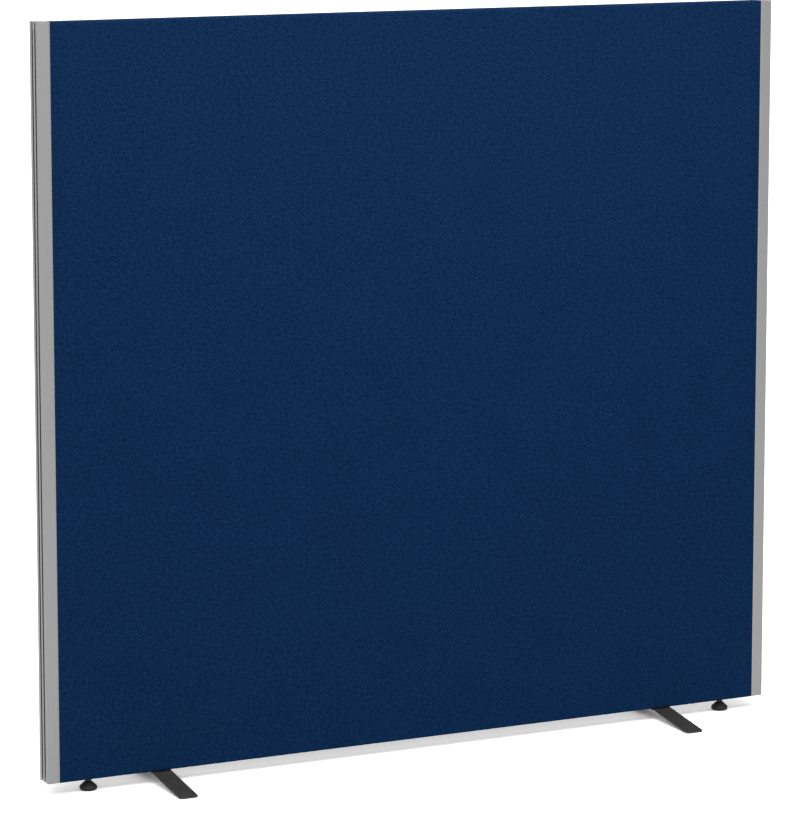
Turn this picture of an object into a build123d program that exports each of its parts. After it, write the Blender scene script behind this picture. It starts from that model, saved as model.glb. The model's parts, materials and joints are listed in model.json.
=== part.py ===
from build123d import *
import math
import os

os.makedirs("parts", exist_ok=True)

# A free-standing acoustic divider screen. Sizes are in millimetres. X runs along the screen,
# Y through it with the front towards -Y, and Z up from the floor. The origin is on the floor,
# under the middle of the screen.

# Driving dimensions of the whole screen
screen_width = 1625  # over the two edge profiles
screen_height = 1500  # floor to the top of the end caps
floor_gap = 26  # floor to the underside of the panel

# Clearances
layer_clearance = 0.2  # between layers, and between the panel's tongue and its pocket
lap_clearance = 0.2  # in the half-lap joints of the timber frame
screw_clearance = 0.15  # round a screw's shank and under its head
thread_clearance = 0.05  # between a turning stem and the sleeve it screws into
pivot_clearance = 0.1  # between a glide's spigot and the bore that it turns in
hem_clearance = 1.5  # between the cloth's turned edges and the profiles' screws

# Edge profile, an aluminium extrusion that grips the panel's upright edge
profile_face = 25  # along X, on the front and on the back
profile_depth = 42  # along Y
profile_wall = 1.8
profile_web = 2.0  # between the linking slots and the panel
profile_corner = 0.8  # outer corners of the end face
slot_depth = 9.2  # behind the end face's lips
groove_width = 6.75  # mouth of each linking slot
centre_bar = 7.5  # flat bar between the two grooves
centre_stem = 2.2  # what carries the centre bar
bead_height = 0.8  # bead inside each flange's free edge, against the cloth
bead_width = 1.6
bevel_width = 3.0  # shallow bevel outside each flange's free edge
bevel_depth = 0.7

# End cap, a moulding pushed into the top of the profile
cap_plate = 1.5
plug_length = 14
plug_clearance = 0.15
plug_lead = 1.0  # chamfer at the plug's lower end

# Cloth cover
cover_thickness = 1.0
cover_recess = 0.5  # cloth below the face of the profile
cover_corner = 2.0  # roll of the cloth beside the profile
cover_turn = 13.5  # turned in under the panel and stapled
cover_end_gap = 0.3  # between the roll and the profile's flange

# Timber frame
stile_width = 44
rail_height = 44
core_clearance = 0.5

# Countersunk screws through the half-lap joints
lap_screw_radius = 2.0
lap_screw_head = 3.8
lap_screw_head_height = 2.2
lap_screw_length = 30

# Pan-head screws through the profile's web
web_screw_radius = 1.75
web_screw_head = 3.0
web_screw_head_height = 2.0
web_screw_length = 24

# Staples under the panel
staple_width = 10
staple_wire = 0.7
staple_leg = 7
staples_between_feet = 7
staple_margin = 60  # from the middle row's end staples to the feet

# Stabilising foot, a flat bar bent down on both sides of the panel
foot_inset = 242  # end of the screen to the middle of the foot
foot_width = 40
foot_thickness = 3
foot_reach = 151  # middle of the panel to the tip
foot_flat = 15  # half the flat middle of the bar
foot_bend = 12  # radius of the bends, on the underside
foot_tip_radius = 8
foot_edge_radius = 0.9
spacer_thickness = 3
foot_screw_pitch = 24
foot_screw_radius = 3
foot_screw_head = 5.25
foot_screw_head_height = 3.3
foot_screw_head_bevel = 1.6
foot_screw_socket = 2.3  # radius over the corners of the hexagon
foot_screw_socket_depth = 1.8
foot_screw_length = 20
foot_sleeve_radius = 4.5
foot_sleeve_length = 15

# Levelling glide: a moulded foot that turns on a collared spigot, a stem with a hexagon, and a
# sleeve in the rail
glide_inset = 92  # end of the screen to the middle of the glide
pad_radius = 17.5
pad_height = 17.5
pad_rim_radius = 5.5
pad_rim_turn = 138  # degrees, from the flat base round to the flank
pad_top_bevel = 0.8
collar_level = 6
collar_height = 3
collar_radius = 4.8
neck_radius = 3.4  # spigot above the collar
hexagon_level = 18
hexagon_height = 4
hexagon_flats = 12
stem_radius = 4.0
stem_length = 23  # above the hexagon
stem_point = 0.8
sleeve_radius = 5.5
sleeve_length = 22
sleeve_flange_radius = 6.5
sleeve_flange = 1.5
bore_room = 0.5  # round the stem, above its sleeve
bore_spare = 5  # above the stem's end when the glide is screwed right in
thread_pitch = 1.25
turns_in = 2  # from where the glide stands, up
turns_out = 6  # from where the glide stands, down

# Places along X, from the end face inwards
face_x = screen_width / 2
slot_mouth_x = face_x - profile_wall
web_x = slot_mouth_x - slot_depth
pocket_x = web_x - profile_web
flange_x = face_x - profile_face
tongue_x = pocket_x - layer_clearance
cover_x = flange_x - cover_end_gap
stile_x = tongue_x - cover_thickness - layer_clearance
stile_inner_x = stile_x - stile_width
foot_x = face_x - foot_inset
glide_x = face_x - glide_inset

# Places along Y, from the faces inwards
profile_half = profile_depth / 2
pocket_half = profile_half - profile_wall
tongue_half = pocket_half - bead_height - layer_clearance
frame_half = tongue_half - cover_thickness - layer_clearance
cover_half = profile_half - cover_recess
padding_outer = cover_half - cover_thickness - layer_clearance
padding_inner = frame_half + layer_clearance
groove_y = (centre_bar + groove_width) / 2
slot_inner_y = centre_stem / 2
slot_width = pocket_half - slot_inner_y
slot_y = (pocket_half + slot_inner_y) / 2
opening_half = cover_half - cover_turn
side_opening_half = groove_y + web_screw_radius + hem_clearance

# Places along Z
profile_top = screen_height - cap_plate
panel_bottom = floor_gap
panel_top = profile_top - layer_clearance
frame_bottom = panel_bottom + cover_thickness + layer_clearance
frame_top = panel_top - cover_thickness - layer_clearance
frame_height = frame_top - frame_bottom
profile_length = profile_top - floor_gap
bar_top = floor_gap - spacer_thickness
bar_bottom = bar_top - foot_thickness

# The rails stand at even distances, and a core slab fills each bay between two of them
rail_names = ["bottom_rail", "lower_cross_rail", "upper_cross_rail", "top_rail"]
core_names = ["lower_core", "middle_core", "upper_core"]
rail_step = (frame_height - rail_height) / (len(rail_names) - 1)
rail_levels = [frame_bottom + rail_height / 2 + rail_step * i for i in range(len(rail_names))]
bay_levels = [(low + high) / 2 for low, high in zip(rail_levels, rail_levels[1:])]
bay_height = rail_step - rail_height

# Planes that pieces are drilled from
frame_front = Plane.XZ.offset(frame_half)
web_face = Plane(origin=(web_x, 0, 0), x_dir=(0, 1, 0), z_dir=(1, 0, 0))

# Every screw's place on its own plane
lap_screw_places = [
    (side * (stile_x - stile_width / 2), level) for level in rail_levels for side in (-1, 1)
]
web_screw_places = [(side * groove_y, level) for level, side in zip(bay_levels, (-1, 1, -1))]
foot_screw_places = [
    (foot + side * foot_screw_pitch / 2, 0) for foot in (-foot_x, foot_x) for side in (-1, 1)
]
to_minus = (Align.CENTER, Align.CENTER, Align.MAX)
to_plus = (Align.CENTER, Align.CENTER, Align.MIN)
sides = ["left", "right"]


def lap_screw(room, mode):
    """A countersunk wood screw, or with room the hole that takes it, along -Z."""
    Cylinder(lap_screw_radius + room, lap_screw_length + room, align=to_minus, mode=mode)
    Cone(
        bottom_radius=lap_screw_radius + room,
        top_radius=lap_screw_head + room,
        height=lap_screw_head_height + room,
        align=to_minus,
        mode=mode,
    )


def web_screw_holes(depth):
    """Round holes for the pan-head screws, drilled from the outside of the profile's web."""
    with Locations(web_face):
        with Locations(*web_screw_places):
            Cylinder(
                web_screw_radius + screw_clearance, depth, align=to_minus, mode=Mode.SUBTRACT
            )


# Stiles, notched on the front for the tongues of the rails
for side in sides:
    with BuildPart() as stile:
        with Locations(((stile_x + stile_inner_x) / 2, 0, frame_bottom)):
            Box(stile_width, 2 * frame_half, frame_height, align=to_plus)
        for level in rail_levels:
            with Locations(((stile_x + stile_inner_x) / 2, lap_clearance / 2, level)):
                Box(
                    stile_width,
                    profile_depth,
                    rail_height + 2 * lap_clearance,
                    align=(Align.CENTER, Align.MAX, Align.CENTER),
                    mode=Mode.SUBTRACT,
                )
        with Locations(frame_front):
            with Locations(*lap_screw_places):
                lap_screw(screw_clearance, Mode.SUBTRACT)
        web_screw_holes(profile_web + web_screw_length)
        if side == "left":
            mirror(about=Plane.YZ, mode=Mode.REPLACE)
    stile.part.label = f"{side}_stile"
    export_step(stile.part, f"parts/{side}_stile.step")

# Rails, with a half-thickness tongue at each end. The bottom one takes the glides' and feet's
# sleeves in stepped holes.
stem_top = hexagon_level + hexagon_height + stem_length
stem_bore_top = stem_top + turns_in * thread_pitch + bore_spare
for name, level in zip(rail_names, rail_levels):
    with BuildPart() as rail:
        with Locations((0, 0, level)):
            Box(2 * (stile_inner_x - lap_clearance), 2 * frame_half, rail_height)
        with Locations((0, -lap_clearance / 2, level)):
            Box(
                2 * stile_x,
                frame_half - lap_clearance / 2,
                rail_height,
                align=(Align.CENTER, Align.MAX, Align.CENTER),
            )
        with Locations(frame_front):
            with Locations(*lap_screw_places):
                lap_screw(screw_clearance, Mode.SUBTRACT)
        if name == "bottom_rail":
            with Locations((-glide_x, 0, frame_bottom), (glide_x, 0, frame_bottom)):
                Cylinder(
                    sleeve_flange_radius + screw_clearance,
                    sleeve_flange + screw_clearance,
                    align=to_plus,
                    mode=Mode.SUBTRACT,
                )
                Cylinder(
                    sleeve_radius + screw_clearance,
                    sleeve_length + screw_clearance,
                    align=to_plus,
                    mode=Mode.SUBTRACT,
                )
                Cylinder(
                    stem_radius + bore_room,
                    stem_bore_top - frame_bottom,
                    align=to_plus,
                    mode=Mode.SUBTRACT,
                )
            with Locations(Plane.XY.offset(frame_bottom)):
                with Locations(*foot_screw_places):
                    Cylinder(
                        foot_sleeve_radius + screw_clearance,
                        foot_sleeve_length + screw_clearance,
                        align=to_plus,
                        mode=Mode.SUBTRACT,
                    )
                    Cylinder(
                        foot_screw_radius + screw_clearance,
                        foot_screw_length,
                        align=to_plus,
                        mode=Mode.SUBTRACT,
                    )
    rail.part.label = name
    export_step(rail.part, f"parts/{name}.step")

# Countersunk screws that hold the half-lap joints
with BuildPart() as frame_screws:
    with Locations(frame_front):
        with Locations(*lap_screw_places):
            lap_screw(0, Mode.ADD)
frame_screws.part.label = "frame_screws"
export_step(frame_screws.part, "parts/frame_screws.step")

# Absorbing core, one slab of mineral wool in each bay
for name, level in zip(core_names, bay_levels):
    with BuildPart() as core:
        with Locations((0, 0, level)):
            Box(
                2 * (stile_inner_x - core_clearance),
                2 * frame_half,
                bay_height - 2 * core_clearance,
            )
    core.part.label = name
    export_step(core.part, f"parts/{name}.step")

# Wadding, a soft layer over the front and the back of the frame
wadding_x = cover_x - cover_thickness - layer_clearance
for name, turn in (("front_wadding", -1), ("back_wadding", 1)):
    with BuildPart() as wadding:
        with BuildSketch(Plane.XY.offset(frame_bottom)):
            with Locations((0, turn * (padding_outer + padding_inner) / 2)):
                Rectangle(2 * wadding_x, padding_outer - padding_inner)
        extrude(amount=frame_height)
        outer_face = wadding.faces().sort_by(Axis.Y)[0 if turn < 0 else -1]
        fillet(outer_face.edges().filter_by(Axis.Z), cover_corner - cover_thickness)
    wadding.part.label = name
    export_step(wadding.part, f"parts/{name}.step")

# Cloth cover: a skin round the whole panel. Inside the profiles' pockets it is turned in over the
# stiles' edges, and below over the rail's, and leaves the middle of each open.
with BuildPart() as fabric_cover:
    with BuildSketch(Plane.XY.offset(panel_bottom)) as cover_outline:
        Rectangle(2 * cover_x, 2 * cover_half)
        fillet(cover_outline.vertices(), cover_corner)
        Rectangle(2 * tongue_x, 2 * tongue_half)
    extrude(amount=panel_top - panel_bottom)
    with BuildSketch(Plane.XY.offset(panel_bottom + cover_thickness)) as cover_lining:
        Rectangle(2 * (cover_x - cover_thickness), 2 * (cover_half - cover_thickness))
        fillet(cover_lining.vertices(), cover_corner - cover_thickness)
        Rectangle(2 * (tongue_x - cover_thickness), 2 * (tongue_half - cover_thickness))
    extrude(amount=panel_top - panel_bottom - 2 * cover_thickness, mode=Mode.SUBTRACT)
    with Locations((0, 0, panel_bottom)):
        Box(
            2 * stile_x,
            2 * opening_half,
            cover_thickness,
            align=to_plus,
            mode=Mode.SUBTRACT,
        )
        Box(
            2 * tongue_x,
            2 * side_opening_half,
            frame_top - panel_bottom,
            align=to_plus,
            mode=Mode.SUBTRACT,
        )
fabric_cover.part.label = "fabric_cover"
export_step(fabric_cover.part, "parts/fabric_cover.step")

# Staples in two rows under the panel, clear of the feet and glides
row_end = foot_x - foot_width / 2 - staple_margin
row_step = 2 * row_end / (staples_between_feet - 1)
staple_row = [-row_end + row_step * i for i in range(staples_between_feet)]
outer_staples = [(foot_x + glide_x) / 2, (glide_x + stile_inner_x) / 2]
staple_row += outer_staples + [-x for x in outer_staples]
staple_y = (cover_half + opening_half) / 2
with BuildPart() as cover_staples:
    with Locations(*[(x, y, panel_bottom) for x in staple_row for y in (-staple_y, staple_y)]):
        Box(staple_width, staple_wire, staple_wire, align=to_minus)
        with Locations(
            ((staple_wire - staple_width) / 2, 0, 0), ((staple_width - staple_wire) / 2, 0, 0)
        ):
            Box(staple_wire, staple_wire, cover_thickness + staple_leg, align=to_plus)
cover_staples.part.label = "cover_staples"
export_step(cover_staples.part, "parts/cover_staples.step")

# Edge profiles. The section has a pocket for the panel's tongue on the inside, and on the end
# face two grooves that open into linking slots, with a flat bar on a stem between them.
for side in sides:
    with BuildPart() as edge_profile:
        with BuildSketch(Plane.XY.offset(floor_gap)) as section:
            with Locations((face_x - profile_face / 2, 0)):
                Rectangle(profile_face, profile_depth)
            fillet(section.vertices().group_by(Axis.X)[-1], profile_corner)
            with Locations(((flange_x + pocket_x) / 2, 0)):
                Rectangle(pocket_x - flange_x, 2 * pocket_half, mode=Mode.SUBTRACT)
            for y in (-1, 1):
                with Locations(((web_x + slot_mouth_x) / 2, y * slot_y)):
                    Rectangle(slot_depth, slot_width, mode=Mode.SUBTRACT)
                with Locations(((web_x + face_x) / 2, y * groove_y)):
                    Rectangle(face_x - web_x, groove_width, mode=Mode.SUBTRACT)
                with Locations((flange_x + bead_width / 2, y * (pocket_half - bead_height / 2))):
                    Rectangle(bead_width, bead_height)
                with BuildLine():
                    Polyline(
                        (flange_x, y * profile_half),
                        (flange_x + bevel_width, y * profile_half),
                        (flange_x, y * (profile_half - bevel_depth)),
                        close=True,
                    )
                make_face(mode=Mode.SUBTRACT)
        extrude(amount=profile_length)
        web_screw_holes(profile_web)
        if side == "left":
            mirror(about=Plane.YZ, mode=Mode.REPLACE)
    edge_profile.part.label = f"{side}_edge_profile"
    export_step(edge_profile.part, f"parts/{side}_edge_profile.step")

# Screws that hold each profile to its stile, with their heads in the linking slots
for side in sides:
    with BuildPart() as profile_screws:
        with Locations(web_face):
            with Locations(*web_screw_places):
                Cylinder(web_screw_radius, web_screw_length, align=to_minus)
                Cylinder(web_screw_head, web_screw_head_height, align=to_plus)
        if side == "left":
            mirror(about=Plane.YZ, mode=Mode.REPLACE)
    profile_screws.part.label = f"{side}_profile_screws"
    export_step(profile_screws.part, f"parts/{side}_profile_screws.step")

# End caps: a plate with the profile's outline, and two plugs that fill the tops of the slots
# behind the lips
for side in sides:
    with BuildPart() as top_cap:
        with BuildSketch(Plane.XY.offset(profile_top)) as plate_outline:
            with Locations((face_x - profile_face / 2, 0)):
                Rectangle(profile_face, profile_depth)
            fillet(plate_outline.vertices(), profile_corner)
        extrude(amount=cap_plate)
        with BuildSketch(Plane.XY.offset(profile_top)):
            with Locations(*[((web_x + slot_mouth_x) / 2, y * slot_y) for y in (-1, 1)]):
                Rectangle(slot_depth - 2 * plug_clearance, slot_width - 2 * plug_clearance)
        extrude(amount=-plug_length)
        plug_ends = top_cap.faces().filter_by(Axis.Z).group_by(Axis.Z)[0]
        chamfer(plug_ends.edges().filter_by(Axis.Y).sort_by(Axis.X)[:2], plug_lead)
        if side == "left":
            mirror(about=Plane.YZ, mode=Mode.REPLACE)
    top_cap.part.label = f"{side}_top_cap"
    export_step(top_cap.part, f"parts/{side}_top_cap.step")

# Stabilising feet. The bar's underside runs from the tips on the floor up to a flat middle.
foot_places = {"left": -foot_x, "right": foot_x}
for side, place in foot_places.items():
    with BuildPart() as foot_bar:
        with BuildSketch(Plane.YZ.offset(place)):
            with BuildLine():
                underside = FilletPolyline(
                    (-foot_reach, 0),
                    (-foot_flat, bar_bottom),
                    (foot_flat, bar_bottom),
                    (foot_reach, 0),
                    radius=foot_bend,
                )
                offset(underside, amount=foot_thickness, side=Side.LEFT)
            make_face()
        extrude(amount=foot_width / 2, both=True)
        with BuildSketch(Plane.XY):
            with Locations((place, 0)):
                RectangleRounded(foot_width, 2 * foot_reach, foot_tip_radius)
        extrude(amount=floor_gap, mode=Mode.INTERSECT)
        top_faces = foot_bar.faces().filter_by(lambda face: face.normal_at().Z > 0)
        rim_edges = top_faces.edges() - foot_bar.edges().filter_by(Axis.X)
        tip_edges = top_faces.edges().filter_by(Axis.X).group_by(Axis.Z)[0]
        fillet(rim_edges + tip_edges, foot_edge_radius)
        with Locations((place, 0, bar_bottom)):
            with Locations((-foot_screw_pitch / 2, 0, 0), (foot_screw_pitch / 2, 0, 0)):
                Cylinder(
                    foot_screw_radius + screw_clearance,
                    foot_thickness,
                    align=to_plus,
                    mode=Mode.SUBTRACT,
                )
    foot_bar.part.label = f"{side}_foot_bar"
    export_step(foot_bar.part, f"parts/{side}_foot_bar.step")

    # Spacer plate that keeps the bar's bends clear of the cloth
    with BuildPart() as foot_spacer:
        with Locations((place, 0, bar_top)):
            Box(foot_width, 2 * foot_flat, spacer_thickness, align=to_plus)
        fillet(foot_spacer.edges().filter_by(Axis.Z), spacer_thickness)
        with Locations((place, 0, bar_top)):
            with Locations((-foot_screw_pitch / 2, 0, 0), (foot_screw_pitch / 2, 0, 0)):
                Cylinder(
                    foot_screw_radius + screw_clearance,
                    spacer_thickness,
                    align=to_plus,
                    mode=Mode.SUBTRACT,
                )
    foot_spacer.part.label = f"{side}_foot_spacer"
    export_step(foot_spacer.part, f"parts/{side}_foot_spacer.step")

    # Button-head screws with a hexagon socket, from below
    with BuildPart() as foot_screws:
        with Locations((place, 0, bar_bottom)):
            with Locations((-foot_screw_pitch / 2, 0, 0), (foot_screw_pitch / 2, 0, 0)):
                Cylinder(foot_screw_radius, foot_screw_length, align=to_plus)
                Cylinder(foot_screw_head, foot_screw_head_height, align=to_minus)
        head_rims = foot_screws.edges().filter_by(GeomType.CIRCLE).group_by(Axis.Z)[0]
        chamfer(head_rims, foot_screw_head_bevel)
        with BuildSketch(Plane.XY.offset(bar_bottom - foot_screw_head_height)):
            with Locations(
                (place - foot_screw_pitch / 2, 0), (place + foot_screw_pitch / 2, 0)
            ):
                RegularPolygon(foot_screw_socket, 6)
        extrude(amount=foot_screw_socket_depth, mode=Mode.SUBTRACT)
    foot_screws.part.label = f"{side}_foot_screws"
    export_step(foot_screws.part, f"parts/{side}_foot_screws.step")

    # Threaded sleeves for those screws, pressed into the bottom rail
    with BuildPart() as foot_sleeves:
        with Locations((place, 0, frame_bottom)):
            with Locations((-foot_screw_pitch / 2, 0, 0), (foot_screw_pitch / 2, 0, 0)):
                Cylinder(foot_sleeve_radius, foot_sleeve_length, align=to_plus)
                Cylinder(
                    foot_screw_radius + thread_clearance,
                    foot_sleeve_length,
                    align=to_plus,
                    mode=Mode.SUBTRACT,
                )
    foot_sleeves.part.label = f"{side}_foot_sleeves"
    export_step(foot_sleeves.part, f"parts/{side}_foot_sleeves.step")

# Levelling glides
base_radius = pad_radius - pad_rim_radius
flank_lean = math.tan(math.radians(pad_rim_turn - 90))
glide_places = {"left": -glide_x, "right": glide_x}
for side, place in glide_places.items():
    axis_plane = Plane(origin=(place, 0, 0), x_dir=(1, 0, 0), z_dir=(0, -1, 0))

    # Flanged sleeve in the bottom rail, which the stem screws into
    with BuildPart() as glide_sleeve:
        with Locations((place, 0, frame_bottom)):
            Cylinder(sleeve_radius, sleeve_length, align=to_plus)
            Cylinder(sleeve_flange_radius, sleeve_flange, align=to_plus)
            Cylinder(
                stem_radius + thread_clearance, sleeve_length, align=to_plus, mode=Mode.SUBTRACT
            )
    glide_sleeve.part.label = f"{side}_glide_sleeve"
    export_step(glide_sleeve.part, f"parts/{side}_glide_sleeve.step")

    # Stem: a spigot with its collar, a hexagon for the spanner and the threaded length
    with BuildPart() as glide_stem:
        with Locations((place, 0, collar_level)):
            Cylinder(collar_radius, collar_height, align=to_plus)
            Cylinder(neck_radius, hexagon_level - collar_level, align=to_plus)
        with BuildSketch(Plane.XY.offset(hexagon_level)):
            with Locations((place, 0)):
                RegularPolygon(hexagon_flats / 2, 6, major_radius=False)
        extrude(amount=hexagon_height)
        with Locations((place, 0, hexagon_level + hexagon_height)):
            Cylinder(stem_radius, stem_length, align=to_plus)
        chamfer(glide_stem.faces().sort_by(Axis.Z)[-1].edges(), stem_point)
    glide_stem.part.label = f"{side}_glide_stem"
    export_step(glide_stem.part, f"parts/{side}_glide_stem.step")

    # Moulded pad: a flat base, a round rim and a flank that runs up to the spigot. The collar sits
    # in its own pocket inside.
    with BuildPart() as glide_pad:
        with BuildSketch(axis_plane):
            with BuildLine():
                base = Line((0, 0), (base_radius, 0))
                rim = JernArc(base @ 1, base % 1, pad_rim_radius, pad_rim_turn)
                flank = rim @ 1
                top_radius = flank.X - (pad_height - flank.Y) * flank_lean
                Polyline(flank, (top_radius, pad_height), (0, pad_height), (0, 0))
            make_face()
        revolve(axis=Axis((place, 0, 0), (0, 0, 1)))
        chamfer(glide_pad.faces().sort_by(Axis.Z)[-1].edges(), pad_top_bevel)
        with Locations((place, 0, collar_level - pivot_clearance)):
            Cylinder(
                collar_radius + pivot_clearance,
                collar_height + 2 * pivot_clearance,
                align=to_plus,
                mode=Mode.SUBTRACT,
            )
            Cylinder(
                neck_radius + pivot_clearance, pad_height, align=to_plus, mode=Mode.SUBTRACT
            )
    glide_pad.part.label = f"{side}_glide_pad"
    export_step(glide_pad.part, f"parts/{side}_glide_pad.step")
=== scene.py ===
import json
import math

import bpy
import numpy as np
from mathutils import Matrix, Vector


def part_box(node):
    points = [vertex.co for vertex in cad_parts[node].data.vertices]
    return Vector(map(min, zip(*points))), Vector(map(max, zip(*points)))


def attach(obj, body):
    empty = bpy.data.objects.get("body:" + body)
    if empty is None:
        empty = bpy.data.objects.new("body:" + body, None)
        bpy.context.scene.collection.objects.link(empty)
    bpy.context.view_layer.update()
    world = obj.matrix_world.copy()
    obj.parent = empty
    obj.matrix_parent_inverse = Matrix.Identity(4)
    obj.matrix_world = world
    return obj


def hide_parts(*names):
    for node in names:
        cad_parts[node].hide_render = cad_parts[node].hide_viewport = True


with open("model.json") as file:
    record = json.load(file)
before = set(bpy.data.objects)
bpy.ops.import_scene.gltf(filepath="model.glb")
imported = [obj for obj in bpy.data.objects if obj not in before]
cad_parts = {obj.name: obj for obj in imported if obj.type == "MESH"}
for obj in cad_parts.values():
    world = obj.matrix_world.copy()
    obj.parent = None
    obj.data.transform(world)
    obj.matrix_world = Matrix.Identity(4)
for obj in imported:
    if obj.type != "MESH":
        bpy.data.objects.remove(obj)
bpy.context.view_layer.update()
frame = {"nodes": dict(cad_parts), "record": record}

# The looks of a free-standing acoustic divider screen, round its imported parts. Everything is in
# metres: X runs along the screen, the front faces -Y, and Z goes up from the floor.
nodes = frame["nodes"]
mm = 0.001
tiny = 1e-6  # nearer than this, two places count as one
print("frame loaded:", len(nodes), "parts")


# Small tools

def tint(red, green, blue):
    # a screen colour, 0 to 255, turned by the sRGB curve into the linear values that shaders take
    share = np.array((red, green, blue)) / 255
    linear = np.where(share <= 0.04045, share / 12.92, ((share + 0.055) / 1.055) ** 2.4)
    return (*linear.tolist(), 1.0)


def put(tree, kind, inputs=None, **settings):
    # adds a node: an input that is a socket is linked, any other value is set on the input itself
    node = tree.nodes.new("ShaderNode" + kind)
    for name, value in settings.items():
        setattr(node, name, value)
    for name, value in (inputs or {}).items():
        if isinstance(value, bpy.types.NodeSocket):
            tree.links.new(value, node.inputs[name])
        else:
            node.inputs[name].default_value = value
    return node


def calculate(tree, operation, first, second=0.0):
    return put(tree, "Math", {0: first, 1: second}, operation=operation).outputs[0]


def mixColours(tree, factor, first, second):
    # sockets 6 and 7 are the two colours: the ones before them mix numbers and vectors
    return put(tree, "Mix", {0: factor, 6: first, 7: second}, data_type="RGBA").outputs[2]


def rescale(tree, value, fromRange=(0.0, 1.0), toRange=(0.0, 1.0)):
    # the limits go by number, because the node's vector sockets bear the same names
    limits = {1: fromRange[0], 2: fromRange[1], 3: toRange[0], 4: toRange[1]}
    return put(tree, "MapRange", {"Value": value, **limits}).outputs[0]


def raiseContrast(tree, value, contrast):
    # stretched about the middle, so that a contrast of 1 leaves a tone as it is
    return rescale(tree, value, (0.5 - 0.5 / contrast, 0.5 + 0.5 / contrast))


def addBump(tree, shader, height, look):
    settings = {"Height": height, "Distance": look["relief"], "Strength": look["bump"]}
    tree.links.new(put(tree, "Bump", settings).outputs[0], shader["Normal"])


def newGroup(name, inputs, outputs):
    # an empty shader group, with its own entry and exit sockets
    group = bpy.data.node_groups.new(name, "ShaderNodeTree")
    for label, kind, value in inputs:
        group.interface.new_socket(
            name=label, in_out="INPUT", socket_type="NodeSocket" + kind
        ).default_value = value
    for label, kind in outputs:
        group.interface.new_socket(name=label, in_out="OUTPUT", socket_type="NodeSocket" + kind)
    entry = group.nodes.new("NodeGroupInput").outputs
    leave = group.nodes.new("NodeGroupOutput").inputs
    return group, entry, leave


def useGroup(tree, group, inputs):
    return put(tree, "Group", inputs, node_tree=group).outputs


def newMaterial(name, colour, **shader):
    # a material with its Principled shader; values that stay the same are set on the shader itself
    material = bpy.data.materials.new(name)
    material.use_nodes = True
    tree = material.node_tree
    principled = tree.nodes["Principled BSDF"]
    principled.inputs["Base Color"].default_value = colour
    for label, value in shader.items():
        principled.inputs[label.replace("_", " ")].default_value = value
    return material, tree, principled.inputs


def quarterSteps(count):
    # the angles of a quarter turn in even steps
    return np.radians(np.linspace(0, 90, count + 1))


def gridFaces(rows, columns, closed=False):
    # the quads between neighbours on a grid of points; closed joins the last column to the first
    row = np.arange(rows - 1)[:, None]
    column = np.arange(columns if closed else columns - 1)[None, :]
    after = (column + 1) % columns
    corners = [row * columns + column, row * columns + after]
    corners += [(row + 1) * columns + after, (row + 1) * columns + column]
    return np.stack(corners, -1).reshape(-1, 4).tolist()


def addPiece(name, points, faces, material, body, uv=None, crease=40):
    # a mesh in its real place, on its object at the origin; edges above the crease stay sharp
    mesh = bpy.data.meshes.new(name)
    mesh.from_pydata(np.asarray(points).reshape(-1, 3).tolist(), [], faces)
    mesh.validate()
    mesh.shade_smooth()
    mesh.set_sharp_from_angle(angle=math.radians(crease))
    if uv is not None:
        corner = np.zeros(len(mesh.loops), int)
        mesh.loops.foreach_get("vertex_index", corner)
        layer = mesh.uv_layers.new(name="flatCut")
        layer.uv.foreach_set("vector", uv.reshape(-1, 2)[corner].ravel())
    mesh.materials.append(material)
    piece = bpy.data.objects.new(name, mesh)
    bpy.context.scene.collection.objects.link(piece)
    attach(piece, body)
    return piece


# Shared effects, as shader groups that put out masks and heights

def makeSpeckle():
    # three sizes of noise added up: a fine grain, its clumps and slow clouds
    group, entry, leave = newGroup(
        "speckle",
        [("Vector", "Vector", (0, 0, 0)), ("Grain", "Float", 500.0), ("Clumps", "Float", 0.4),
         ("Clouds", "Float", 0.15)],
        [("Tone", "Float")],
    )
    sizes = {"fine": 1.0, "clump": 0.37, "cloud": 0.02}
    tones = {}
    for name, share in sizes.items():
        scale = calculate(group, "MULTIPLY", entry["Grain"], share)
        noise = put(
            group, "TexNoise",
            {"Vector": entry["Vector"], "Scale": scale, "Detail": 1.0, "Roughness": 0.5},
        )
        tones[name] = calculate(group, "SUBTRACT", noise.outputs[0], 0.5)
    clumps = calculate(group, "MULTIPLY", tones["clump"], entry["Clumps"])
    clouds = calculate(group, "MULTIPLY", tones["cloud"], entry["Clouds"])
    total = calculate(group, "ADD", calculate(group, "ADD", tones["fine"], clumps), clouds)
    group.links.new(calculate(group, "ADD", total, 0.5), leave["Tone"])
    return group


def makeCrepeWeave():
    # yarns that cross at an even pitch, each pushed aside a little, as a crepe weave is
    group, entry, leave = newGroup(
        "crepeWeave",
        [("Vector", "Vector", (0, 0, 0)), ("Pitch", "Float", 0.001), ("Wander", "Float", 0.5)],
        [("Height", "Float")],
    )
    turns = calculate(group, "DIVIDE", 1.0, entry["Pitch"])
    scaled = put(group, "VectorMath", {0: entry["Vector"], "Scale": turns}, operation="SCALE")
    wander = put(group, "TexNoise", {"Vector": scaled.outputs[0], "Scale": 0.45, "Detail": 2.0})
    aside = put(group, "VectorMath", {0: wander.outputs["Color"], "Scale": entry["Wander"]},
                operation="SCALE")
    moved = put(group, "VectorMath", {0: scaled.outputs[0], 1: aside.outputs[0]}, operation="ADD")
    place = put(group, "SeparateXYZ", {0: moved.outputs[0]})
    waves = []
    for axis in ("X", "Y"):
        angle = calculate(group, "MULTIPLY", place.outputs[axis], 2 * math.pi)
        waves.append(calculate(group, "SINE", angle))
    crossing = calculate(group, "MULTIPLY", waves[0], waves[1])
    height = calculate(group, "MULTIPLY", calculate(group, "ADD", crossing, 1.0), 0.5)
    group.links.new(height, leave["Height"])
    return group


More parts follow.
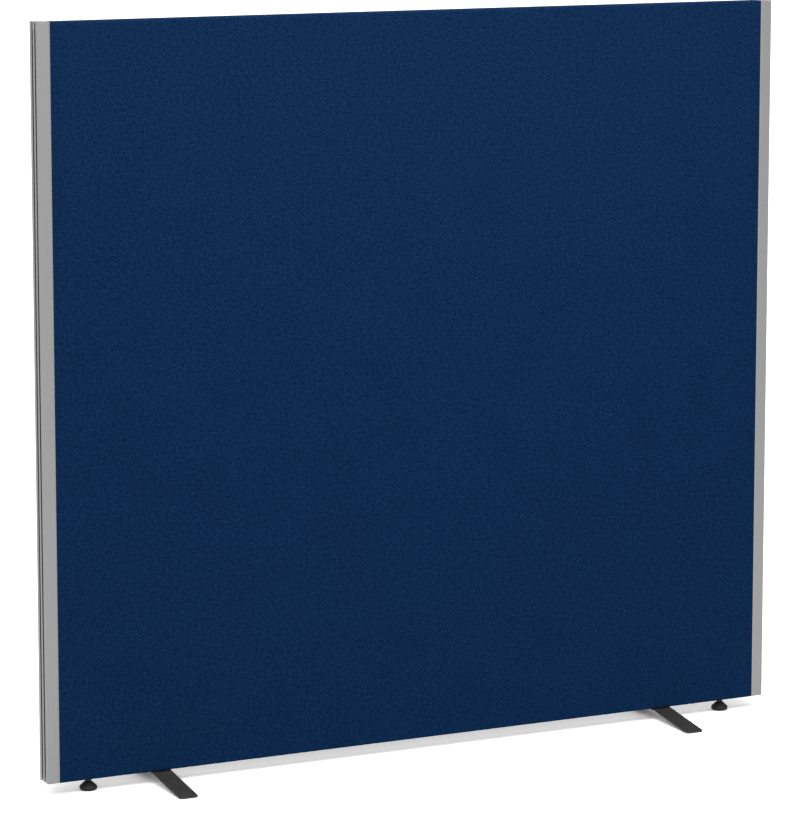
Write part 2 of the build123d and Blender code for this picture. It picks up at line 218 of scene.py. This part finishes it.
def makeLongGrain():
    # streaks that run along Z: noise that changes fast across and slowly along
    group, entry, leave = newGroup(
        "longGrain",
        [("Vector", "Vector", (0, 0, 0)), ("Across", "Float", 1500.0), ("Along", "Float", 3.0)],
        [("Tone", "Float"), ("Height", "Float")],
    )
    stretch = put(group, "CombineXYZ", {0: entry["Across"], 1: entry["Across"], 2: entry["Along"]})
    scaled = put(group, "VectorMath", {0: entry["Vector"], 1: stretch.outputs[0]},
                 operation="MULTIPLY")
    fine = put(group, "TexNoise", {"Vector": scaled.outputs[0], "Scale": 1.0, "Detail": 3.0})
    broad = put(group, "TexNoise", {"Vector": scaled.outputs[0], "Scale": 0.21, "Detail": 1.0})
    both = calculate(group, "ADD", fine.outputs[0], broad.outputs[0])
    group.links.new(calculate(group, "MULTIPLY", both, 0.5), leave["Tone"])
    group.links.new(fine.outputs[0], leave["Height"])
    return group


def makeLighterEdges():
    # 1 along the edges, 0 on the flats: how far the rounded normal leans away from the true one; it
    #                                    marks where edges are painted lighter
    group, entry, leave = newGroup(
        "lighterEdges", [("Radius", "Float", 0.0005), ("Gain", "Float", 4.0)], [("Mask", "Float")]
    )
    rounded = put(group, "Bevel", {"Radius": entry["Radius"]}, samples=4)
    true = put(group, "NewGeometry")
    lean = put(group, "VectorMath", {0: rounded.outputs[0], 1: true.outputs["Normal"]},
               operation="DOT_PRODUCT")
    away = calculate(group, "SUBTRACT", 1.0, lean.outputs["Value"])
    mask = put(group, "Math", {0: away, 1: entry["Gain"]}, operation="MULTIPLY", use_clamp=True)
    group.links.new(mask.outputs[0], leave["Mask"])
    return group


speckle = makeSpeckle()
crepeWeave = makeCrepeWeave()
longGrain = makeLongGrain()
lighterEdges = makeLighterEdges()
print("shared effects made")


# Finishes

screenCloth = {
    "shadow": tint(2, 26, 55), "light": tint(23, 55, 97), "contrast": 1.95,
    "grain": 440.0, "clumps": 0.52, "clouds": 0.06,
    # painted light and shade of the weave: the yarn crowns are painted lighter and the gaps between
    # them darker
    "litCrowns": 0.3,  # how much lighter the yarns are where they stand up
    "pitch": 0.95 * mm, "wander": 0.9, "relief": 0.25 * mm, "bump": 0.6,
}


def makeCloth(look):
    # matt cloth on its flat cut: the speckle and the weave set both the tone and the relief; the
    # speckle is partly the fibres' own mix and partly painted glints, the weave's tone painted
    # shade and light
    material, tree, shader = newMaterial(
        "navyCrepe", look["light"], Roughness=0.95, Specular_IOR_Level=0.04,
    )
    flat = put(tree, "UVMap", uv_map="flatCut").outputs[0]
    dots = useGroup(tree, speckle, {
        "Vector": flat, "Grain": look["grain"], "Clumps": look["clumps"], "Clouds": look["clouds"],
    })
    weave = useGroup(tree, crepeWeave, {
        "Vector": flat, "Pitch": look["pitch"], "Wander": look["wander"],
    })
    centred = calculate(tree, "SUBTRACT", weave["Height"], 0.5)
    # painted shade between the yarns and painted light on their crowns
    litCrowns = calculate(tree, "MULTIPLY", centred, look["litCrowns"])
    # the fibres' own dark and light blue, partly standing in for glints, plus the painted weave
    # shade and light
    toneWithPaintedShading = calculate(tree, "ADD", dots["Tone"], litCrowns)
    tone = raiseContrast(tree, toneWithPaintedShading, look["contrast"])
    tree.links.new(mixColours(tree, tone, look["shadow"], look["light"]), shader["Base Color"])
    addBump(tree, shader, calculate(tree, "ADD", weave["Height"], dots["Tone"]), look)
    return material


# the lightest colour here, mixed in along every edge, is a painted highlight where the edges would
# catch the light
anodised = {
    "low": tint(149, 149, 149), "high": tint(158, 158, 158), "edgeHighlight": tint(210, 210, 210),
    "across": 1400.0, "along": 1.2, "edge": 0.7 * mm, "edgeLightening": 0.8, "roughness": (0.36, 0.46),
    "relief": 0.01 * mm, "bump": 0.4,
}


def makeAnodised(look):
    # drawn aluminium: fine streaks along the profile, and every edge painted lighter as a painted
    # highlight
    material, tree, shader = newMaterial("satinAnodised", look["high"], Metallic=1.0)
    place = put(tree, "TexCoord").outputs["Object"]
    grain = useGroup(tree, longGrain, {
        "Vector": place, "Across": look["across"], "Along": look["along"],
    })
    edgeMask = useGroup(tree, lighterEdges, {"Radius": look["edge"]})
    drawn = mixColours(tree, grain["Tone"], look["low"], look["high"])
    # painted highlight: the edges are mixed towards a light grey
    highlightShare = calculate(tree, "MULTIPLY", edgeMask["Mask"], look["edgeLightening"])
    tree.links.new(mixColours(tree, highlightShare, drawn, look["edgeHighlight"]), shader["Base Color"])
    rough = rescale(tree, grain["Height"], toRange=look["roughness"])
    tree.links.new(rough, shader["Roughness"])
    addBump(tree, shader, grain["Height"], look)
    return material


grained = {"edge": 0.6 * mm, "edgeLightening": 0.25, "bump": 0.5}


def makeGrained(name, dark, light, grain, roughness, relief, contrast=1.0, **shaderValues):
    # moulded, coated, plated and fibrous surfaces: a fine speckle in tone and relief, and edges
    # made a little lighter
    material, tree, shader = newMaterial(name, light, **shaderValues)
    place = put(tree, "TexCoord").outputs["Object"]
    dots = useGroup(tree, speckle, {"Vector": place, "Grain": grain})
    edgeMask = useGroup(tree, lighterEdges, {"Radius": grained["edge"]})
    speck = raiseContrast(tree, dots["Tone"], contrast)
    # the edges are made a little lighter
    tone = calculate(tree, "ADD", speck, calculate(tree, "MULTIPLY", edgeMask["Mask"], grained["edgeLightening"]))
    tree.links.new(mixColours(tree, tone, dark, light), shader["Base Color"])
    tree.links.new(rescale(tree, dots["Tone"], toRange=roughness), shader["Roughness"])
    addBump(tree, shader, dots["Tone"], {**grained, "relief": relief})
    return material


softwood = {
    "plain": tint(205, 170, 120), "dark": tint(172, 128, 78), "light": tint(220, 188, 140),
    "fibre": {"Across": 900.0, "Along": 12.0}, "rings": {"Across": 110.0, "Along": 1.6},
    "spread": (0.35, 0.65), "roughness": (0.55, 0.75), "relief": 0.1 * mm, "bump": 0.4,
}


def makeTimber(name, turn, look):
    # planed softwood: year rings seen as long streaks, with the grain turned along the piece
    material, tree, shader = newMaterial(name, look["plain"], Specular_IOR_Level=0.3)
    place = put(tree, "TexCoord").outputs["Object"]
    turned = put(tree, "Mapping", {"Vector": place, "Rotation": turn}).outputs[0]
    fibre = useGroup(tree, longGrain, {"Vector": turned, **look["fibre"]})
    rings = useGroup(tree, longGrain, {"Vector": turned, **look["rings"]})
    both = calculate(tree, "MULTIPLY", calculate(tree, "ADD", fibre["Tone"], rings["Tone"]), 0.5)
    tone = rescale(tree, both, look["spread"])
    tree.links.new(mixColours(tree, tone, look["dark"], look["light"]), shader["Base Color"])
    tree.links.new(rescale(tree, tone, toRange=look["roughness"]), shader["Roughness"])
    addBump(tree, shader, fibre["Height"], look)
    return material


clothFinish = makeCloth(screenCloth)
finishes = {
    "anodised_profile": makeAnodised(anodised),
    "grey_plastic": makeGrained(
        "greyMoulding", tint(141, 142, 143), tint(154, 155, 156), 1500.0, (0.42, 0.55), 0.03 * mm
    ),
    "black_powder_coat": makeGrained(
        "blackPowderCoat", tint(20, 19, 18), tint(68, 66, 63), 430.0, (0.46, 0.66), 0.12 * mm, 2.6
    ),
    "black_plastic": makeGrained(
        "blackMoulding", tint(24, 24, 24), tint(40, 40, 39), 900.0, (0.6, 0.72), 0.03 * mm, 1.6,
        Specular_IOR_Level=0.3,
    ),
    "black_steel": makeGrained(
        "blackenedSteel", tint(38, 38, 40), tint(56, 56, 58), 1100.0, (0.35, 0.5), 0.02 * mm,
        Metallic=0.7,
    ),
    "zinc_steel": makeGrained(
        "brightZinc", tint(168, 172, 176), tint(196, 198, 196), 600.0, (0.28, 0.42), 0.02 * mm,
        Metallic=1.0,
    ),
}
standingTimber = makeTimber("standingTimber", (0.0, 0.0, 0.0), softwood)
lyingTimber = makeTimber("lyingTimber", (0.0, math.radians(90), 0.0), softwood)
woolFinish = makeGrained(
    "mineralWool", tint(150, 138, 92), tint(196, 184, 132), 420.0, (0.9, 1.0), 0.8 * mm,
    Specular_IOR_Level=0.1,
)
waddingFinish = makeGrained(
    "whiteWadding", tint(212, 212, 208), tint(238, 238, 235), 700.0, (0.9, 1.0), 0.5 * mm,
    Specular_IOR_Level=0.1, Sheen_Weight=0.2,
)
print("finishes made:", len(bpy.data.materials))

slotOf = {part["node"]: part["material_slot"] for part in frame["record"]["subparts"]}
for name, node in nodes.items():
    if slotOf[name] == "timber":
        finish = standingTimber if name.endswith("stile") else lyingTimber
    else:
        finish = finishes.get(slotOf[name], clothFinish)
    for place in node.material_slots:
        place.material = finish


# Cloth cover

panelLow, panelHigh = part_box("fabric_cover")
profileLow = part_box("right_edge_profile")[0]
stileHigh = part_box("right_stile")[1]

coverCloth = {
    "thickness": 1.0 * mm,
    "sideRoll": 2.0 * mm,  # beside the profiles
    "edgeRoll": 3.0 * mm,  # along the top and the bottom
    "underTurn": 13.5 * mm,  # turned in under the panel
    "gap": 0.3 * mm,  # between the roll and the profile
    "layer": 0.2 * mm,  # between the cloth and the frame
    "dip": 0.25 * mm,  # how far the cloth falls back towards its edges
    "dipWidth": 14 * mm,
    "onset": 6,  # dip and slack start from nothing over this fraction of dipWidth
    "slack": 0.12 * mm,  # the slow waves of cloth stretched over wadding
    "waves": ((9.1, 5.3, 0.0), (3.7, -7.9, 1.1)),  # radians a metre along X and Z, and the start
    "across": {"flat": 54, "turn": 8, "pocket": 4},  # points on half the width
    "around": {"under": 5, "turn": 7, "tall": 96, "over": 8},  # points on each run
}


def clothAcross(cloth):
    # along X, for the right half, then mirrored to the left: flat, a quarter turn down beside the
    # profile, a small quarter turn out again, and flat into the profile; it gives x and the depth
    # below the face
    count = cloth["across"]
    step = panelHigh.y - stileHigh.y - cloth["thickness"] - cloth["layer"]
    edge = profileLow.x - cloth["gap"]
    roll, foot = cloth["sideRoll"], step - cloth["sideRoll"]
    turn = quarterSteps(count["turn"])
    flat = np.linspace(0, 1, count["flat"])[:-1] * (edge - roll)
    out = np.linspace(edge + foot, panelHigh.x, count["pocket"])[1:]
    x = np.concatenate([
        flat, edge - roll + roll * np.sin(turn), edge + foot - foot * np.cos(turn[1:]), out,
    ])
    depth = np.concatenate([
        0 * flat, roll - roll * np.cos(turn), roll + foot * np.sin(turn[1:]), 0 * out + step,
    ])
    return np.concatenate([-x[:0:-1], x]), np.concatenate([depth[:0:-1], depth])


def clothAround(cloth, half):
    # round the panel in the YZ plane, from the back's turned edge under the panel, up the back,
    # over the top, down the front and under again: straight runs joined by quarter turns, for each
    # half depth in the array
    count = cloth["around"]
    roll, opening = cloth["edgeRoll"], panelHigh.y - cloth["underTurn"]
    low, high = panelLow.z, panelHigh.z
    turn = quarterSteps(count["turn"])[:, None]
    tall = np.linspace(low + roll, high - roll, count["tall"])[1:-1, None]
    under = np.linspace(0, 1, count["under"])[:-1, None]
    over = np.linspace(1, -1, count["over"])[1:-1, None]
    one = np.ones_like(half)[None, :]
    inner = (half - roll)[None, :]
    y = np.concatenate([
        opening + under * (inner - opening),
        inner + roll * np.sin(turn), tall * 0 + half[None, :], inner + roll * np.cos(turn),
        over * inner,
        -inner - roll * np.sin(turn), tall * 0 - half[None, :], -inner - roll * np.cos(turn),
        -(opening + under[::-1] * (inner - opening)),
    ])
    z = np.concatenate([
        low * one + under * 0,
        (low + roll - roll * np.cos(turn)) * one,
        tall * one,
        (high - roll + roll * np.sin(turn)) * one,
        high * one + over * 0,
        (high - roll + roll * np.cos(turn)) * one,
        tall[::-1] * one,
        (low + roll - roll * np.sin(turn)) * one,
        low * one + under * 0,
    ])
    return y, z


def makeCoverCloth(cloth):
    # the sheet is the section across carried round the panel; on the two faces the depth below the
    # face grows a little towards the edges and with slow waves, always inwards
    x, depth = clothAcross(cloth)
    half = panelHigh.y - depth
    y, z = clothAround(cloth, half)
    x = np.broadcast_to(x, y.shape)
    edge = profileLow.x - cloth["gap"] - cloth["sideRoll"]
    toSide = np.clip((edge - np.abs(x)) / cloth["dipWidth"], 0, 1)
    toEnd = np.minimum(z - panelLow.z, panelHigh.z - z) - cloth["edgeRoll"]
    toEnd = np.clip(toEnd / cloth["dipWidth"], 0, 1)
    crown = (toSide * (2 - toSide)) * (toEnd * (2 - toEnd))
    waves = 0.5
    for rateX, rateZ, start in cloth["waves"]:
        waves = waves + 0.5 / len(cloth["waves"]) * np.sin(rateX * x + rateZ * z + start)
    onFace = (np.abs(y) > half - tiny) & (np.abs(x) < edge)
    inwards = onFace * (cloth["dip"] * (1 - crown) + cloth["slack"] * waves * crown)
    inwards = inwards * np.clip(toSide * cloth["onset"], 0, 1)
    inwards = inwards * np.clip(toEnd * cloth["onset"], 0, 1)
    points = np.stack([x, y - np.sign(y) * inwards, z], -1)
    along = np.hypot(np.diff(y[:, 0]), np.diff(z[:, 0])).cumsum()
    across = np.hypot(np.diff(x[0]), np.diff(half)).cumsum()
    u, v = np.concatenate([[0], across]), np.concatenate([[0], along])
    uv = np.stack(np.broadcast_arrays(u[None, :], v[:, None]), -1)
    faces = gridFaces(*y.shape)
    piece = addPiece("coverCloth", points, faces, clothFinish, "screen", uv)
    skin = piece.modifiers.new("clothThickness", "SOLIDIFY")
    skin.thickness, skin.offset = cloth["thickness"], -1.0
    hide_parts("fabric_cover")
    return float(u[-1]), float(v[-1])


flatCut = makeCoverCloth(coverCloth)
print("cloth cover made, flat cut", [round(side, 3) for side in flatCut])


# Soft fillings inside the panel

wadding = {"round": 1.0 * mm, "ripple": 0.25 * mm, "slot": "wadding", "finish": waddingFinish}
wool = {"round": 5 * mm, "ripple": 1.2 * mm, "slot": "mineral_wool", "finish": woolFinish}
fillings = {
    "front_wadding": {"name": "frontWaddingSheet", **wadding},
    "back_wadding": {"name": "backWaddingSheet", **wadding},
    "lower_core": {"name": "lowerWoolSlab", **wool},
    "middle_core": {"name": "middleWoolSlab", **wool},
    "upper_core": {"name": "upperWoolSlab", **wool},
}
fillingGrid = {"columns": 46, "rows": 40, "bend": 5}
unevenness = {
    "rateX": 41, "rateZ": 37,  # radians a metre
    "shift": 2.1,  # of the back's waves against the front's, along X
    "skew": 1.7,  # the same along Z, as a multiple of the shift
    "calm": 4,  # the waves start from nothing over this many times the rounding
}


def edgeSpacing(low, high, rounding, inner):
    # places along one side: close together over the rounded borders, even between them
    bend = rounding * (1 - np.cos(quarterSteps(fillingGrid["bend"])))
    middle = np.linspace(low + rounding, high - rounding, inner)[1:-1]
    return np.concatenate([low + bend, middle, (high - bend)[::-1]])


def makeFilling(node, look):
    # two faces over one grid, each rounded off towards its border as a quarter circle of the
    # distance to it, with slow uneven waves in the faces, and joined along the border
    low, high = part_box(node)
    x = edgeSpacing(low.x, high.x, look["round"], fillingGrid["columns"])
    z = edgeSpacing(low.z, high.z, look["round"], fillingGrid["rows"])
    gridX, gridZ = np.meshgrid(x, z)
    border = np.minimum(
        np.minimum(gridX - low.x, high.x - gridX), np.minimum(gridZ - low.z, high.z - gridZ)
    )
    near = np.clip(1 - border / look["round"], 0, 1)
    middle, half = (low.y + high.y) / 2, (high.y - low.y) / 2
    away = half - look["round"] * (1 - np.sqrt(1 - near ** 2))
    sheets = []
    for side, shift in ((-1, 0.0), (1, unevenness["shift"])):
        acrossWave = np.sin(unevenness["rateX"] * gridX + shift)
        upWave = np.sin(unevenness["rateZ"] * gridZ + unevenness["skew"] * shift)
        waves = 0.5 + 0.5 * acrossWave * upWave
        waves = waves * np.clip(border / (unevenness["calm"] * look["round"]), 0, 1)
        sheets.append(np.stack([gridX, middle + side * (away - look["ripple"] * waves), gridZ], -1))
    rows, columns = gridX.shape
    front = np.array(gridFaces(rows, columns))
    back = front[:, ::-1] + rows * columns
    index = np.arange(rows * columns).reshape(rows, columns)
    ring = np.concatenate([index[0, :-1], index[:-1, -1], index[-1, :0:-1], index[:0:-1, 0]])
    ringAfter = np.roll(ring, -1)
    rim = np.stack([ringAfter, ring, ring + rows * columns, ringAfter + rows * columns], -1)
    faces = np.concatenate([front, back, rim]).tolist()
    piece = addPiece(
        look["name"], np.stack(sheets), faces, look["finish"], "screen"
    )
    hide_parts(node)


for node, look in fillings.items():
    makeFilling(node, look)
print("fillings made:", len(fillings))


# Threaded stems of the levelling glides

threadedStem = {
    "collar": (6.0 * mm, 9.0 * mm, 4.8 * mm),  # from, to and radius
    "neck": 3.4 * mm,
    "break": 0.3 * mm,  # taken off the collar's edges
    "hexagon": (18.0 * mm, 22.0 * mm, 12.0 * mm),  # from, to and over the flats
    "hexagonRings": 13,
    "facing": 0.97,  # the hexagon's end faces, as a share of its flats
    "cone": 30,  # degrees, on the hexagon's corners
    "crest": 3.96 * mm,
    "root": 3.25 * mm,
    "rootFlat": 0.25,  # shares of the pitch
    "crestFlat": 0.125,
    "pitch": 1.25 * mm,
    "ringsPerPitch": 10,
    "relief": 0.7 * mm,  # plain length between the hexagon and the first thread
    "chamfer": 0.8 * mm,  # at the top
    "top": 45.0 * mm,
    "columns": 72,
    "crease": 25,
}


def makeStem(side, look):
    # the radius over angle and height: a collar and a plain neck, a hexagon with its corners turned
    # off by cones, and a right-hand thread with straight flanks and a chamfered end
    angle = np.arange(look["columns"]) * 2 * math.pi / look["columns"]
    low, high, collar = look["collar"]
    start, end, flats = look["hexagon"]
    plain, edge = 0 * angle, look["break"]
    rings = [
        (low, plain + collar - edge), (low + edge, plain + collar),
        (high - edge, plain + collar), (high, plain + collar - edge),
        (high, plain + look["neck"]), (start, plain + look["neck"]),
    ]
    side60, half60 = math.pi / 3, math.pi / 6
    fromCorner = np.abs((angle + half60) % side60 - half60)
    hexagon = flats / 2 / np.cos(half60 - fromCorner)
    for z in np.linspace(start, end, look["hexagonRings"]):
        rise = min(z - start, end - z) / math.tan(math.radians(look["cone"]))
        rings.append((z, np.minimum(hexagon, flats / 2 * look["facing"] + rise)))
    count = round((look["top"] - end) / look["pitch"] * look["ringsPerPitch"])
    slope = 1 - look["rootFlat"] - look["crestFlat"]
    for z in np.linspace(end, look["top"], count + 1):
        phase = (z / look["pitch"] - angle / (2 * math.pi)) % 1
        flank = np.clip((np.abs(2 * phase - 1) - look["rootFlat"]) / slope, 0, 1)
        begun = min(max((z - end - look["relief"]) / look["pitch"], 0), 1)
        radius = look["root"] + (look["crest"] - look["root"]) * flank * begun
        rings.append((z, np.minimum(radius, look["crest"] - look["chamfer"] + look["top"] - z)))
    z = np.array([ring[0] for ring in rings])[:, None] + 0 * angle
    radius = np.array([ring[1] for ring in rings])
    boxLow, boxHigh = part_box(side + "_glide_stem")
    middle = (boxLow + boxHigh) / 2
    points = np.stack([middle.x + radius * np.cos(angle), middle.y + radius * np.sin(angle), z], -1)
    rows, columns = z.shape
    faces = gridFaces(rows, columns, closed=True)
    faces += [list(range(columns))[::-1], list(range((rows - 1) * columns, rows * columns))]
    piece = addPiece(
        side + "ThreadedStem", points, faces, finishes["black_steel"], side + "_stem",
        crease=look["crease"],
    )
    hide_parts(side + "_glide_stem")


for side in ("left", "right"):
    makeStem(side, threadedStem)
print("threaded stems made")


# Stage, lights and camera

floorLook = {
    "lit": (0.5, 0.5, 0.5, 1.0),
    "mirrored": (1.1, 1.1, 1.1, 1.0),
    "seen": (1.85, 1.85, 1.85, 1.0),
    "reach": 60.0,
    "level": -0.2 * mm,
}
surroundings = {"lit": 0.61, "seen": 1.0}
lamps = {
    "frontSun": {"kind": "SUN", "from": (-0.45, -0.55, 0.70), "strength": 1.2, "spread": 60},
    "topBox": {"kind": "AREA", "place": (0.1, -1.5, 3.1), "aim": (0.0, 0.0, 1.2), "strength": 36.5,
               "size": 2.4},
}
photoCamera = {
    "place": (-3.430, -6.723, 1.948), "turn": -26.77, "down": 8.52, "lens": 163.8, "shiftY": -0.08,
    "near": 0.1, "far": 400.0,
}


def lookingRays(tree):
    # whether a ray is the camera's own, and whether it looks on from a reflection or through glass
    rays = put(tree, "LightPath").outputs
    onwards = calculate(tree, "MAXIMUM", rays["Is Glossy Ray"], rays["Is Transmission Ray"])
    return rays["Is Camera Ray"], onwards


def makeFloor(look):
    # pale floor: the camera and reflections see it much brighter than other rays do, so that only
    # what is well shaded shows on white
    reach = look["reach"]
    mesh = bpy.data.meshes.new("floor")
    corners = [(-reach, -reach), (reach, -reach), (reach, reach), (-reach, reach)]
    mesh.from_pydata([(x, y, look["level"]) for x, y in corners], [], [(0, 1, 2, 3)])
    floor = bpy.data.objects.new("floor", mesh)
    bpy.context.scene.collection.objects.link(floor)
    material = bpy.data.materials.new("paleFloor")
    material.use_nodes = True
    tree = material.node_tree
    tree.nodes.remove(tree.nodes["Principled BSDF"])
    direct, onwards = lookingRays(tree)
    colour = mixColours(tree, onwards, look["lit"], look["mirrored"])
    colour = mixColours(tree, direct, colour, look["seen"])
    surface = put(tree, "BsdfDiffuse", {"Color": colour})
    tree.links.new(surface.outputs[0], tree.nodes["Material Output"].inputs["Surface"])
    mesh.materials.append(material)


def makeSurroundings(look):
    # white where the camera, a reflection or glass looks, and a plain level for what it lights
    world = bpy.data.worlds.new("paleRoom")
    bpy.context.scene.world = world
    world.use_nodes = True
    tree = world.node_tree
    looking = calculate(tree, "MAXIMUM", *lookingRays(tree))
    strength = rescale(tree, looking, toRange=(look["lit"], look["seen"]))
    background = tree.nodes["Background"]
    background.inputs["Color"].default_value = (1.0, 1.0, 1.0, 1.0)
    tree.links.new(strength, background.inputs["Strength"])


def makeLamp(name, look):
    data = bpy.data.lights.new(name, look["kind"])
    lamp = bpy.data.objects.new(name, data)
    bpy.context.scene.collection.objects.link(lamp)
    if look["kind"] == "SUN":
        data.energy, data.angle = look["strength"], math.radians(look["spread"])
        towards = -Vector(look["from"])
    else:
        data.energy, data.size = look["strength"], look["size"]
        lamp.location = look["place"]
        towards = Vector(look["aim"]) - Vector(look["place"])
    lamp.rotation_euler = towards.to_track_quat("-Z", "Y").to_euler()


def makeCamera(look):
    data = bpy.data.cameras.new("photoCamera")
    data.lens, data.shift_y = look["lens"], look["shiftY"]
    data.clip_start, data.clip_end = look["near"], look["far"]
    camera = bpy.data.objects.new("photoCamera", data)
    bpy.context.scene.collection.objects.link(camera)
    turn, down = math.radians(look["turn"]), math.radians(look["down"])
    towards = Vector(
        (-math.sin(turn) * math.cos(down), math.cos(turn) * math.cos(down), -math.sin(down))
    )
    camera.location = look["place"]
    camera.rotation_euler = towards.to_track_quat("-Z", "Y").to_euler()
    bpy.context.scene.camera = camera


makeFloor(floorLook)
makeSurroundings(surroundings)
for name, look in lamps.items():
    makeLamp(name, look)
makeCamera(photoCamera)
bpy.context.scene.view_settings.view_transform = "Standard"
print("stage, lights and camera set")
